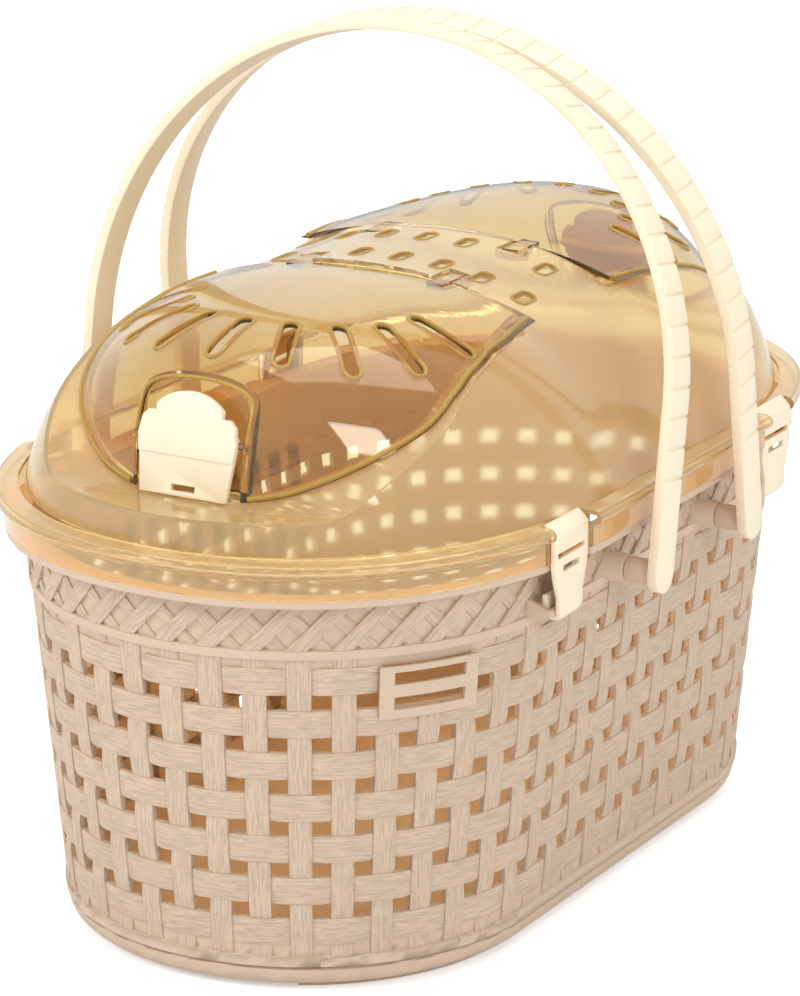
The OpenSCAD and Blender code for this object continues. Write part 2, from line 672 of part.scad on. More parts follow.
module clip() {
  top = lid_top + 0.8;
  color(cream) translate([0, 0, foot_h]) difference() {
    intersection() {
      translate([0, clip_y + clip_w, 0]) rotate([90, 0, 0]) linear_extrude(2 * clip_w) {
        polygon([[clip_face, bar_z], [clip_face, lid_top - 4], [clip_face - clip_lip + 1.4, top],
          [clip_face - clip_lip, top], [clip_face - clip_lip, lid_top], [clip_face - clip_t, lid_top - lip_drop],
          [clip_face - clip_t, bar_z]]);
        translate([bar_x, bar_z]) difference() {
          circle(r = clip_in + clip_t);
          circle(r = clip_in);
          translate([-20, 0]) square([40, 20]);
        }
        translate([bar_x - clip_in - clip_t, bar_z]) square([clip_t, 7]);
        translate([bar_x - clip_in - clip_t / 2, bar_z + 7]) circle(d = clip_t, $fn = 24);
      }
      translate([bar_x - 20, clip_y, 0]) rotate([90, 0, 90]) linear_extrude(40) clip_outline();
    }
    translate([bar_x, clip_y - clip_w / 2 + 3, rim_z + 2]) cube([20, clip_w - 6, 2.6]);
    translate([bar_x, clip_y - clip_w / 4, rim_z - 5]) cube([20, clip_w / 2, 3]);
  }
}

module clip_outline() {
  a = clip_w / 2;
  b = clip_foot_w / 2;
  z1 = bar_z - 10;
  polygon([[-a + 1, lid_top + 3], [a - 1, lid_top + 3], [a, lid_top - 2], [a, rim_z - 2], [a - 1.4, rim_z - 8],
    [b, bar_z + 7], [b, bar_z], [b - 3, bar_z - 3.4], [b - 6, z1], [-b + 6, z1], [-b + 3, bar_z - 3.4], [-b, bar_z],
    [-b, bar_z + 7], [-a + 1.4, rim_z - 8], [-a, rim_z - 2], [-a, lid_top - 2]]);
}

// the handles

module handle() {
  grooves = floor(PI * (arch_r + band_t / 2) / groove_pitch);
  leg_grooves = floor((straight_h - 34) / groove_pitch);
  color(cream) translate([0, -pivot_y, pivot_z + foot_h]) rotate([-lean, 0, 0]) difference() {
    union() {
      translate([0, 0, straight_h]) rotate([90, 0, 0]) rotate_extrude(angle = 180, $fn = 96)
        translate([leg_x, -band_w / 2]) square([band_t, band_w]);
      for (m = [0, 1]) mirror([m, 0, 0]) {
        translate([leg_x, -band_w / 2, 0]) cube([band_t, band_w, straight_h]);
        translate([leg_x, 0, 0]) rotate([0, 90, 0]) cylinder(r = band_w / 2, h = band_t);
      }
    }
    for (k = [0 : grooves - 1]) translate([0, 0, straight_h]) rotate([0, -(k + 0.5) * 180 / grooves, 0])
      translate([arch_r + band_t / 2 - groove_d, -band_w, -groove_w / 2]) cube([5, 2 * band_w, groove_w]);
    for (m = [0, 1]) mirror([m, 0, 0]) {
      for (k = [1 : leg_grooves])
        translate([leg_x + band_t - groove_d, -band_w, straight_h + (0.5 - k) * groove_pitch])
          cube([5, 2 * band_w, groove_w]);
      translate([leg_x - 1, 0, 0]) rotate([0, 90, 0]) cylinder(r = pin_r + 0.1, h = socket_d + 1);
    }
  }
}

module handle_pin() {
  shaft0 = tub_r(pivot_z) + 0.2;
  color(cream) translate([0, -pivot_y, pivot_z + foot_h]) rotate([0, 90, 0]) {
    translate([0, 0, shaft0]) cylinder(r = pin_r, h = leg_x + socket_d - 0.1 - shaft0);
    translate([0, 0, boss_x + fit]) cylinder(r = collar_r, h = leg_x - boss_x - fit);
  }
}

// the nodes

tub_floor();
tub_base();
tub_weave();
tub_rim();
label_plate();
lid_shell();
door();  // front_door
rotate([0, 0, 180]) door();  // rear_door
latch();  // front_latch
rotate([0, 0, 180]) latch();  // rear_latch
latch_pin();  // front_latch_pin
rotate([0, 0, 180]) latch_pin();  // rear_latch_pin
hinge_pin(-1);  // front_hinge_pin_left
hinge_pin(1);  // front_hinge_pin_right
rotate([0, 0, 180]) hinge_pin(1);  // rear_hinge_pin_left
rotate([0, 0, 180]) hinge_pin(-1);  // rear_hinge_pin_right
scale_signs(-1, -1) clip();  // clip_front_left
scale_signs(1, -1) clip();  // clip_front_right
scale_signs(-1, 1) clip();  // clip_rear_left
scale_signs(1, 1) clip();  // clip_rear_right
handle();  // front_handle
rotate([0, 0, 180]) handle();  // rear_handle
scale_signs(-1, 1) handle_pin();  // pin_front_left
handle_pin();  // pin_front_right
scale_signs(-1, -1) handle_pin();  // pin_rear_left
scale_signs(1, -1) handle_pin();  // pin_rear_right
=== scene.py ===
import math

import bmesh
import bpy
import numpy as np
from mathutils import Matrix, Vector


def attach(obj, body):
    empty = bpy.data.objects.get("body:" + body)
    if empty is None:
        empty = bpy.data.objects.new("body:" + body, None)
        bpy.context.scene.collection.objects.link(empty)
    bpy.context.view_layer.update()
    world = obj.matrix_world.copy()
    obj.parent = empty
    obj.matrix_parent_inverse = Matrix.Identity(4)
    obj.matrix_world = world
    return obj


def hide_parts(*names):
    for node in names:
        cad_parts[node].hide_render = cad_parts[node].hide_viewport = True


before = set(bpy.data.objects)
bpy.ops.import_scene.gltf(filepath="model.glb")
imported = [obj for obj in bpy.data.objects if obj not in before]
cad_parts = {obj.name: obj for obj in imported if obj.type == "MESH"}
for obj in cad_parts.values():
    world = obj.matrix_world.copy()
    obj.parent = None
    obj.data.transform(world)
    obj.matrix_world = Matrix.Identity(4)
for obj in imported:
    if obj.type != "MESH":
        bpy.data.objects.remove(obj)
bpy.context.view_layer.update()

# Tub floor and base. The bottom of the taupe moulding: a rounded edge, a plain
# band, a raised bead and four foot ridges. Its skin is matte with a faint pebble.
MM = 0.001
FOOT = 2.2
TAUPE = (0.640, 0.490, 0.365)


def only(piece):
    bpy.ops.object.select_all(action="DESELECT")
    piece.select_set(True)
    bpy.context.view_layer.objects.active = piece


def apply_modifier(piece, kind, **settings):
    only(piece)
    modifier = piece.modifiers.new(kind.title(), kind)
    for key, value in settings.items():
        setattr(modifier, key, value)
    bpy.ops.object.modifier_apply(modifier=modifier.name)


def smooth(piece, angle=35):
    only(piece)
    bpy.ops.object.shade_smooth_by_angle(angle=math.radians(angle))


def finished(node, name, body, edge=0.4, angle=35):
    """A copy of a CAD node with its doubles merged, its edges rounded and its round faces smooth."""
    piece = bpy.data.objects.new(name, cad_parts[node].data.copy())
    bpy.context.collection.objects.link(piece)
    only(piece)
    bpy.ops.object.mode_set(mode="EDIT")
    bpy.ops.mesh.select_all(action="SELECT")
    bpy.ops.mesh.remove_doubles(threshold=2e-6)
    bpy.ops.mesh.dissolve_limited(angle_limit=math.radians(0.4))
    bpy.ops.object.mode_set(mode="OBJECT")
    if edge:
        apply_modifier(piece, "BEVEL", width=edge * MM, segments=2, limit_method="ANGLE",
                       angle_limit=math.radians(30), use_clamp_overlap=True)
    smooth(piece, angle)
    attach(piece, body)
    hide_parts(node)
    return piece


def new_group(name, inputs, outputs):
    group = bpy.data.node_groups.new(name, "ShaderNodeTree")
    for label, kind, value in inputs:
        made = group.interface.new_socket(label, in_out="INPUT", socket_type=kind)
        if value is not None:
            made.default_value = value
    for label, kind in outputs:
        group.interface.new_socket(label, in_out="OUTPUT", socket_type=kind)
    return group, group.nodes.new("NodeGroupInput"), group.nodes.new("NodeGroupOutput")


def moulded_skin_group():
    """Slow colour drift, a fine pebble height and a roughness that drifts with it."""
    group, start, end = new_group(
        "moulded skin",
        [("Colour", "NodeSocketColor", None), ("Drift", "NodeSocketFloat", 0.06),
         ("Pebble size", "NodeSocketFloat", 900.0), ("Roughness", "NodeSocketFloat", 0.5)],
        [("Colour", "NodeSocketColor"), ("Roughness", "NodeSocketFloat"), ("Height", "NodeSocketFloat")])
    n, l = group.nodes, group.links
    place = n.new("ShaderNodeTexCoord")
    slow = n.new("ShaderNodeTexNoise")
    slow.inputs["Scale"].default_value = 14
    slow.inputs["Detail"].default_value = 3
    l.new(place.outputs["Object"], slow.inputs["Vector"])
    dark = n.new("ShaderNodeMapRange")
    dark.inputs["To Min"].default_value = 1.0
    l.new(slow.outputs["Fac"], dark.inputs["Value"])
    less = n.new("ShaderNodeMath")
    less.operation = "SUBTRACT"
    less.inputs[0].default_value = 1.0
    l.new(start.outputs["Drift"], less.inputs[1])
    l.new(less.outputs[0], dark.inputs["To Max"])
    tone = n.new("ShaderNodeVectorMath")
    tone.operation = "SCALE"
    l.new(start.outputs["Colour"], tone.inputs[0])
    l.new(dark.outputs[0], tone.inputs["Scale"])
    l.new(tone.outputs[0], end.inputs["Colour"])
    fine = n.new("ShaderNodeTexNoise")
    fine.inputs["Detail"].default_value = 4
    l.new(place.outputs["Object"], fine.inputs["Vector"])
    l.new(start.outputs["Pebble size"], fine.inputs["Scale"])
    l.new(fine.outputs["Fac"], end.inputs["Height"])
    rough = n.new("ShaderNodeMath")
    rough.operation = "MULTIPLY_ADD"
    rough.inputs[1].default_value = 0.12
    l.new(slow.outputs["Fac"], rough.inputs[0])
    l.new(start.outputs["Roughness"], rough.inputs[2])
    l.new(rough.outputs[0], end.inputs["Roughness"])
    return group


moulded_skin = moulded_skin_group()


def plastic(name, colour, roughness, drift, pebble, bump_mm, specular=0.5, coat=0.0, subsurface=0.0):
    made = bpy.data.materials.new(name)
    made.use_nodes = True
    n, l = made.node_tree.nodes, made.node_tree.links
    shader = n["Principled BSDF"]
    skin = n.new("ShaderNodeGroup")
    skin.node_tree = moulded_skin
    skin.inputs["Colour"].default_value = (*colour, 1)
    skin.inputs["Drift"].default_value = drift
    skin.inputs["Pebble size"].default_value = pebble
    skin.inputs["Roughness"].default_value = roughness
    bump = n.new("ShaderNodeBump")
    bump.inputs["Strength"].default_value = 0.5
    bump.inputs["Distance"].default_value = bump_mm * MM
    l.new(skin.outputs["Colour"], shader.inputs["Base Color"])
    l.new(skin.outputs["Roughness"], shader.inputs["Roughness"])
    l.new(skin.outputs["Height"], bump.inputs["Height"])
    l.new(bump.outputs["Normal"], shader.inputs["Normal"])
    shader.inputs["Specular IOR Level"].default_value = specular
    shader.inputs["Coat Weight"].default_value = coat
    shader.inputs["Coat Roughness"].default_value = 0.25
    if subsurface:
        shader.inputs["Subsurface Weight"].default_value = subsurface
        shader.inputs["Subsurface Radius"].default_value = (1.0, 0.8, 0.5)
        shader.inputs["Subsurface Scale"].default_value = 0.002
    return made


taupe_plain = plastic("taupe moulding", TAUPE, 0.52, 0.05, 1100, 0.12, specular=0.35)
base = finished("tub_base", "base_shell", "tub", edge=0.0)
floor_plate = finished("tub_floor", "floor_plate", "tub", edge=0.0)
TUB_C = 101.0
SEAM = 0.3
for v in floor_plate.data.vertices:
    # the floor is one moulding with the base, so its edge meets the base's
    end = Vector((0, math.copysign(min(abs(v.co.y), TUB_C * MM), v.co.y), v.co.z))
    out = v.co - end
    if out.length > 0.1 and v.co.z > FOOT * MM - 1e-5:
        v.co = end + out * (1 + SEAM * MM / out.length)
for piece in (base, floor_plate):
    piece.data.materials.clear()
    piece.data.materials.append(taupe_plain)

# Woven wall. The moulding imitates a basket: sixty uprights pass over and under
# seven rows, each strip flat where it is on top and dipping behind its neighbours.
TUB_R = 114.0
SLOPE = 0.0935
MID_R = TUB_R + SLOPE * 90
ROUND = 4 * TUB_C + 2 * math.pi * MID_R
COLUMNS = 60
ROWS = 7
PITCH = ROUND / COLUMNS
SHIFT = 3.4
ROW_Z = 21.5
ROW_PITCH = 20.67
ROW_H = 13.0
COLUMN_W = 0.54 * PITCH
SKIN = 3.6
PLATE_AT = (math.radians(56) * MID_R - SHIFT) / PITCH
PLATE_HALF = math.radians(21.7) * MID_R / PITCH / 2


def wall(s, z, d):
    """Point of the tub wall in metres: s mm round from the front, z mm up the tub, d mm out of its skin."""
    s, z, d = np.broadcast_arrays(*(np.asarray(v, float) for v in (s, z, d)))
    r = TUB_R + SLOPE * z + d
    u = np.mod(s, ROUND)
    q = MID_R * math.pi / 2
    t = [u / MID_R, (u - q - 2 * TUB_C) / MID_R, (u - 3 * q - 4 * TUB_C) / MID_R]
    cases = [u < q, u < q + 2 * TUB_C, u < 3 * q + 2 * TUB_C, u < 3 * q + 4 * TUB_C]
    x = np.select(cases, [r * np.sin(t[0]), r, r * np.cos(t[1]), -r], -r * np.cos(t[2]))
    y = np.select(cases, [-TUB_C - r * np.cos(t[0]), -TUB_C + u - q, TUB_C + r * np.sin(t[1]),
                          TUB_C - (u - 3 * q - 2 * TUB_C)], -TUB_C - r * np.sin(t[2]))
    return np.stack([x, y, z + FOOT], -1) * MM


def blank(name, along, across):
    """A flat strip from -1 to 1 both ways, one unit thick: x runs along it and z is 0 on its face."""
    bpy.ops.object.select_all(action="DESELECT")
    bpy.ops.mesh.primitive_grid_add(x_subdivisions=along, y_subdivisions=across, size=2)
    strip = bpy.context.object
    strip.name = name
    bpy.ops.object.mode_set(mode="EDIT")
    bpy.ops.mesh.select_all(action="SELECT")
    bpy.ops.mesh.extrude_region_move(TRANSFORM_OT_translate={"value": (0, 0, -1)})
    bpy.ops.object.mode_set(mode="OBJECT")
    return strip


def crown(v):
    """Drop of a strip's face towards its two long edges, mm."""
    return -0.42 * np.clip((np.abs(v) - 0.72) / 0.28, 0, 1) ** 2


def dip(turns):
    """Drop of a strip where it goes behind another: turns is 0 on top and 1 behind."""
    t = np.clip((turns - 0.42) / 0.5, 0, 1)
    return -1.55 * t * t * (3 - 2 * t)


def wrap(strip, place, along_mm, across_mm, offset=0.0):
    """Lays a blank on the wall by place(u, v, face) and gives it a map in mm, with the grain along it."""
    mesh = strip.data
    co = np.zeros(len(mesh.vertices) * 3)
    mesh.vertices.foreach_get("co", co)
    co = co.reshape(-1, 3)
    face = co[:, 2] > -0.5
    out = place(co[:, 0], co[:, 1], face)
    loops = np.zeros(len(mesh.loops), int)
    mesh.loops.foreach_get("vertex_index", loops)
    uv = np.stack([co[:, 0] * along_mm / 2, co[:, 1] * across_mm / 2 + offset - 3.0 * (~face)], -1)[loops]
    mesh.uv_layers[0].data.foreach_set("uv", uv.ravel())
    mesh.vertices.foreach_set("co", out.ravel())
    mesh.update()


def joined(strips, name, merge=0.0, bevel=0.0):
    bpy.ops.object.select_all(action="DESELECT")
    for strip in strips:
        strip.select_set(True)
    bpy.context.view_layer.objects.active = strips[0]
    if len(strips) > 1:
        bpy.ops.object.join()
    piece = bpy.context.view_layer.objects.active
    piece.name = name
    bpy.ops.object.mode_set(mode="EDIT")
    bpy.ops.mesh.select_all(action="SELECT")
    if merge:
        bpy.ops.mesh.remove_doubles(threshold=merge)
    bpy.ops.mesh.normals_make_consistent(inside=False)
    bpy.ops.object.mode_set(mode="OBJECT")
    if bevel:
        apply_modifier(piece, "BEVEL", width=bevel * MM, segments=2, limit_method="ANGLE",
                       angle_limit=math.radians(50))
    smooth(piece, 40)
    return piece


def row_strip(j):
    cut = j == ROWS - 1
    s0 = SHIFT + (PLATE_AT + PLATE_HALF - 0.1 if cut else (j + 1) % 2) * PITCH
    s1 = s0 + ROUND - (2 * (PLATE_HALF - 0.1) * PITCH if cut else 0)
    strip = blank(f"row_{j}", 480, 8)
    z0 = ROW_Z + j * ROW_PITCH + ROW_H / 2

    def place(u, v, face):
        s = s0 + (u + 1) / 2 * (s1 - s0)
        turns = np.mod((s - SHIFT) / PITCH + j + ROWS + 1, 2)
        d = np.where(face, dip(1 - np.abs(turns - 1)) + crown(v), -SKIN)
        return wall(s, z0 + v * ROW_H / 2, d)

    wrap(strip, place, s1 - s0, ROW_H, 37.0 * j)
    return strip


def upright_strip(k):
    z0 = 14.6
    under_plate = abs(k - PLATE_AT) < PLATE_HALF - 0.1
    z1 = 137.0 if under_plate else 163.4
    strip = blank(f"upright_{k}", 44, 6)
    s0 = SHIFT + k * PITCH

    def place(u, v, face):
        z = z0 + (u + 1) / 2 * (z1 - z0)
        turns = np.mod((z - ROW_Z - ROW_H / 2) / ROW_PITCH + k + ROWS, 2)
        d = np.where(face, dip(1 - np.abs(turns - 1)) + crown(v), -SKIN)
        return wall(s0 + v * COLUMN_W / 2, z, d)

    wrap(strip, place, z1 - z0, COLUMN_W, 23.0 * k)
    return strip


def split_grain_group():
    """Streaks of split cane along the strip: a mask of dark cracks and a height, from a map in mm."""
    group, start, end = new_group(
        "split cane grain",
        [("Map", "NodeSocketVector", None), ("Length", "NodeSocketFloat", 0.09)],
        [("Streaks", "NodeSocketFloat"), ("Height", "NodeSocketFloat")])
    n, l = group.nodes, group.links
    apart = n.new("ShaderNodeSeparateXYZ")
    l.new(start.outputs["Map"], apart.inputs[0])
    slow = n.new("ShaderNodeMath")
    slow.operation = "MULTIPLY"
    l.new(apart.outputs["X"], slow.inputs[0])
    l.new(start.outputs["Length"], slow.inputs[1])
    back = n.new("ShaderNodeCombineXYZ")
    l.new(slow.outputs[0], back.inputs["X"])
    l.new(apart.outputs["Y"], back.inputs["Y"])
    heights = []
    for scale, detail, distortion in ((1.1, 5, 0.9), (3.2, 3, 0.4)):
        noise = n.new("ShaderNodeTexNoise")
        noise.inputs["Scale"].default_value = scale
        noise.inputs["Detail"].default_value = detail
        noise.inputs["Distortion"].default_value = distortion
        l.new(back.outputs[0], noise.inputs["Vector"])
        heights.append(noise)
    cracks = n.new("ShaderNodeMapRange")
    cracks.inputs["From Min"].default_value = 0.36
    cracks.inputs["From Max"].default_value = 0.52
    l.new(heights[0].outputs["Fac"], cracks.inputs["Value"])
    l.new(cracks.outputs[0], end.inputs["Streaks"])
    both = n.new("ShaderNodeMath")
    both.operation = "MULTIPLY_ADD"
    both.inputs[1].default_value = 0.45
    l.new(heights[1].outputs["Fac"], both.inputs[0])
    l.new(cracks.outputs[0], both.inputs[2])
    l.new(both.outputs[0], end.inputs["Height"])
    return group


split_grain = split_grain_group()


def cane_plastic(name, colour, length):
    made = bpy.data.materials.new(name)
    made.use_nodes = True
    n, l = made.node_tree.nodes, made.node_tree.links
    shader = n["Principled BSDF"]
    place = n.new("ShaderNodeUVMap")
    grain = n.new("ShaderNodeGroup")
    grain.node_tree = split_grain
    grain.inputs["Length"].default_value = length
    l.new(place.outputs["UV"], grain.inputs["Map"])
    skin = n.new("ShaderNodeGroup")
    skin.node_tree = moulded_skin
    skin.inputs["Colour"].default_value = (*colour, 1)
    skin.inputs["Drift"].default_value = 0.07
    skin.inputs["Pebble size"].default_value = 900
    skin.inputs["Roughness"].default_value = 0.55
    worn = n.new("ShaderNodeMapRange")
    worn.inputs["To Min"].default_value = 0.86
    worn.inputs["To Max"].default_value = 1.02
    l.new(grain.outputs["Streaks"], worn.inputs["Value"])
    tone = n.new("ShaderNodeVectorMath")
    tone.operation = "SCALE"
    l.new(skin.outputs["Colour"], tone.inputs[0])
    l.new(worn.outputs[0], tone.inputs["Scale"])
    l.new(tone.outputs[0], shader.inputs["Base Color"])
    l.new(skin.outputs["Roughness"], shader.inputs["Roughness"])
    bump = n.new("ShaderNodeBump")
    bump.inputs["Strength"].default_value = 0.6
    bump.inputs["Distance"].default_value = 0.35 * MM
    l.new(grain.outputs["Height"], bump.inputs["Height"])
    l.new(bump.outputs["Normal"], shader.inputs["Normal"])
    shader.inputs["Specular IOR Level"].default_value = 0.3
    return made


cane = cane_plastic("taupe cane grain", TAUPE, 0.09)
weave_rows = joined([row_strip(j) for j in range(ROWS)], "weave_rows", merge=2e-6)
weave_uprights = joined([upright_strip(k) for k in range(COLUMNS)], "weave_uprights")
for piece in (weave_rows, weave_uprights):
    piece.data.materials.clear()
    piece.data.materials.append(cane)
    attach(piece, "tub")
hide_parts("tub_weave")

# The weave is closed below its first row and above its last by a recessed skin of the same moulding.
WEAVE_TOP = ROW_Z + (ROWS - 1) * ROW_PITCH + ROW_H


def closing_strip(z0, z1):
    strip = blank("closing", 240, 2)

    def place(u, v, face):
        return wall((u + 1) / 2 * ROUND, z0 + (v + 1) / 2 * (z1 - z0), np.where(face, -1.7, -SKIN + 0.05))

    wrap(strip, place, ROUND, z1 - z0)
    return strip


closings = [closing_strip(14.8, ROW_Z + 0.5), closing_strip(WEAVE_TOP - 0.5, 163.6)]
closing = joined(closings, "weave_closings", merge=2e-6)
closing.data.materials.clear()
closing.data.materials.append(taupe_plain)
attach(closing, "tub")

# Rim. The plain upper wall of the moulding carries a bead, a plaited band, the
# flange under the lid, four bosses for the handles and four bars for the clips.
rim = finished("tub_rim", "rim_shell", "tub", edge=0.4)
rim.data.materials.clear()
rim.data.materials.append(taupe_plain)

BAND_Z0, BAND_Z1 = 167.6, 191.2


def plait_strip(k, lean, width, height):
    strip = blank(f"plait_{k}", 12, 4)
    run = 1.12 * PITCH * lean
    s0 = SHIFT + (k + 0.5) * PITCH
    length = math.hypot(run, BAND_Z1 - BAND_Z0)
    half = width / 2 * length / (BAND_Z1 - BAND_Z0)

    def place(u, v, face):
        z = BAND_Z0 + (u + 1) / 2 * (BAND_Z1 - BAND_Z0)
        d = np.where(face, height - 0.35 * np.clip((np.abs(v) - 0.6) / 0.4, 0, 1) ** 2, -1.6)
        return wall(s0 + u * run / 2 + v * half, z, d)

    wrap(strip, place, length, width, 17.0 * k)
    return strip


plait = joined([plait_strip(k, 1, 6.7, 0.8) for k in range(COLUMNS)]
               + [plait_strip(k + 0.5, -1, 6.4, -0.3) for k in range(COLUMNS)], "plaited_band")
plait.data.materials.clear()
plait.data.materials.append(cane)
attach(plait, "tub")

# Label plate. A curved plate moulded proud of the wall below the bead, with two
# round-ended slots through it for a tag or a strap.
plate = finished("label_plate", "tag_plate", "tub", edge=0.5)
plate.data.materials.clear()
plate.data.materials.append(taupe_plain)

# Lid shell. One clear amber moulding: a skirt over the tub rim, a domed body, a
# bridge with slots between the doors, and ledges that the doors close on.
DOME_Z, DOME_H, DOME_HL, DOME_HW, DIP = 162.4, 146.3, 233.9, 145.5, 11.0
SHELL = 2.2
BRIDGE = 40.0
RIM_Z, LID_TOP = 194.3, 211.8
LEDGE = [(40, 281.8), (62, 281), (90, 278.3), (113, 273), (131, 266), (148, 257), (161, 251.3),
         (173.5, 245.5), (182, 240.8), (190, 236), (197, 231.5), (204, 228.0), (211, 226.8), (232, 226),
         (262, 226)]


def ledge_z(y):
    return np.interp(np.abs(y), [p[0] for p in LEDGE], [p[1] for p in LEDGE])


def dome_half(y):
    b = DOME_HL * 0.7687
    v = np.clip((np.abs(y) - (DOME_HL - b)) / b, 0, 1)
    return DOME_HW * (1 - v ** 2.2) ** (1 / 2.2)


def dome_rise(y):
    t = np.clip(np.abs(y) / DOME_HL, 0, 1)
    return DOME_H * (1 - t ** 2.584) ** (1 / 4.779) - DIP / (1 + (np.abs(y) / 60) ** 6)


DOOR_HL, DOOR_HW, DOOR_Z, DOOR_H = 209, 157, 190, 109
LID_N, DOOR_N = 2.293, 2.3


def door_half(y):
    return DOOR_HW * np.sqrt(np.clip(1 - (y / DOOR_HL) ** 2, 0, 1))


def door_rise(y):
    t = np.clip(np.abs(y) / DOOR_HL, 0, 1)
    return DOOR_H * (1 - t ** 8) ** 0.25 - 3 / (1 + (np.abs(y) / 60) ** 6)


def sheet(name, along, across, place):
    """A grid bent by place(u, v), both from -1 to 1, into a closed skin in mm."""
    bpy.ops.object.select_all(action="DESELECT")
    bpy.ops.mesh.primitive_grid_add(x_subdivisions=along, y_subdivisions=across, size=2)
    made = bpy.context.object
    made.name = name
    co = np.zeros(len(made.data.vertices) * 3)
    made.data.vertices.foreach_get("co", co)
    co = co.reshape(-1, 3)
    out = np.stack(place(co[:, 0], co[:, 1]), -1)
    out[:, 2] += FOOT
    made.data.vertices.foreach_set("co", (out * MM).ravel())
    made.data.update()
    bpy.ops.object.mode_set(mode="EDIT")
    bpy.ops.mesh.select_all(action="SELECT")
    bpy.ops.mesh.remove_doubles(threshold=5e-6)
    bpy.ops.mesh.normals_make_consistent(inside=False)
    bpy.ops.object.mode_set(mode="OBJECT")
    return made


def prism(name, outline, depth, axis="Z", start=0.0):
    """A closed outline in mm pushed along an axis, as a cutter or a plain solid."""
    mesh = bpy.data.meshes.new(name)
    made = bpy.data.objects.new(name, mesh)
    bpy.context.collection.objects.link(made)
    work = bmesh.new()
    def at(a, b, c):
        return {"Z": (a, b, c), "X": (c, a, b), "Y": (a, c, b)}[axis]
    ring = [work.verts.new(Vector(at(a, b, start)) * MM) for a, b in outline]
    bottom = work.faces.new(ring)
    up = bmesh.ops.extrude_face_region(work, geom=[bottom])
    move = Vector(at(0, 0, depth)) * MM
    bmesh.ops.translate(work, vec=move, verts=[v for v in up["geom"] if isinstance(v, bmesh.types.BMVert)])
    bmesh.ops.recalc_face_normals(work, faces=work.faces)
    work.to_mesh(mesh)
    work.free()
    return made


def cut(piece, cutter, how="DIFFERENCE"):
    apply_modifier(piece, "BOOLEAN", operation=how, solver="EXACT", object=cutter)
    bpy.data.objects.remove(cutter)


def over_ledge(seam, lift, above=True):
    """Outline, in y and z mm, of the room over or under one ledge."""
    ys = np.concatenate([[seam], np.linspace(seam + 0.5, 262, 90)])
    line = [(-y, float(ledge_z(y)) + FOOT + lift) for y in ys]
    return line + ([(-262, 400), (-seam, 400)] if above else [(-262, 150), (-seam, 150)])


def turned(piece):
    """Half a turn round the middle of the lid, for what the front and the rear share."""
    only(piece)
    bpy.ops.object.transform_apply(location=False, rotation=True, scale=False)
    for v in piece.data.vertices:
        v.co.x, v.co.y = -v.co.x, -v.co.y
    piece.data.update()
    return piece


def stadium(cx, cy, length, width, angle=0.0, steps=10):
    """Outline of a round-ended slot; angle turns it from the Y axis, in degrees."""
    pts = []
    for end, first in ((1, 0), (-1, 180)):
        for i in range(steps + 1):
            a = math.radians(first + 180 * i / steps)
            pts.append((width / 2 * math.cos(a), end * (length - width) / 2 + width / 2 * math.sin(a)))
    c, s = math.cos(math.radians(angle)), math.sin(math.radians(angle))
    return [(cx + x * c - y * s, cy + x * s + y * c) for x, y in pts]


def solid_dome(name, length, half, rise, z0, n, inset, along, across):
    """A closed dome of superelliptic sections on a flat foot, shaped from a sphere and shrunk by inset mm."""
    bpy.ops.object.select_all(action="DESELECT")
    bpy.ops.mesh.primitive_uv_sphere_add(segments=2 * across, ring_count=along, radius=1,
                                         rotation=(math.pi / 2, 0, 0))
    bpy.ops.object.transform_apply(location=False, rotation=True, scale=True)
    made = bpy.context.object
    made.name = name
    co = np.zeros(len(made.data.vertices) * 3)
    made.data.vertices.foreach_get("co", co)
    co = co.reshape(-1, 3)
    turn = np.arctan2(co[:, 2], co[:, 0])
    c, s = np.cos(turn), np.where(np.abs(np.sin(turn)) < 1e-5, 0, np.sin(turn))
    y = length * np.clip(co[:, 1], -1, 1)
    wide, high = half(y), rise(y)
    x = wide * (1 - inset / wide.max()) * np.where(s >= 0, np.sign(c) * np.abs(c) ** (2 / n), c)
    z = z0 + FOOT + high * (1 - inset / high.max()) * np.clip(s, 0, 1) ** (2 / n)
    out = np.stack([x, y * (1 - inset / length), z], -1) * MM
    made.data.vertices.foreach_set("co", out.ravel())
    made.data.update()
    return made


def dome_solid(name, inset):
    return solid_dome(name, DOME_HL, dome_half, dome_rise, DOME_Z, LID_N, inset, 120, 80)


def door_solid(name, inset):
    return solid_dome(name, DOOR_HL, door_half, door_rise, DOOR_Z, DOOR_N, inset, 120, 72)


def lid_solid(name, inset):
    """The dome with the room over both ledges taken off; inset also lowers the ledges."""
    made = dome_solid(name, inset)
    for side in (1, -1):
        room = prism("over", over_ledge(BRIDGE + inset / 4, -inset), 400, axis="X", start=-200)
        cut(made, room if side == 1 else turned(room))
    return made


def block(name, lo, hi):
    corners = [(lo[0], lo[1]), (hi[0], lo[1]), (hi[0], hi[1]), (lo[0], hi[1])]
    return prism(name, corners, hi[2] - lo[2], start=lo[2])


LEDGE_W = 5.0
dome = lid_solid("lid_dome", 0)
cut(dome, block("below", (-200, -300, 100), (200, 300, LID_TOP + FOOT - 1)))
cut(dome, lid_solid("inside", SHELL))
for side in (1, -1):
    doorway = door_solid("doorway", LEDGE_W)
    cut(doorway, block("reach", (-200, -198, 150), (200, -BRIDGE + 1, 400)), "INTERSECT")
    cut(doorway, prism("over", over_ledge(30, -SHELL - 1), 400, axis="X", start=-200), "INTERSECT")
    cut(dome, doorway if side == 1 else turned(doorway))

SKIRT_N, SKIRT_HW, SKIRT_HL, SKIRT_END = 2.22, 146.0, 242.3, 177.0


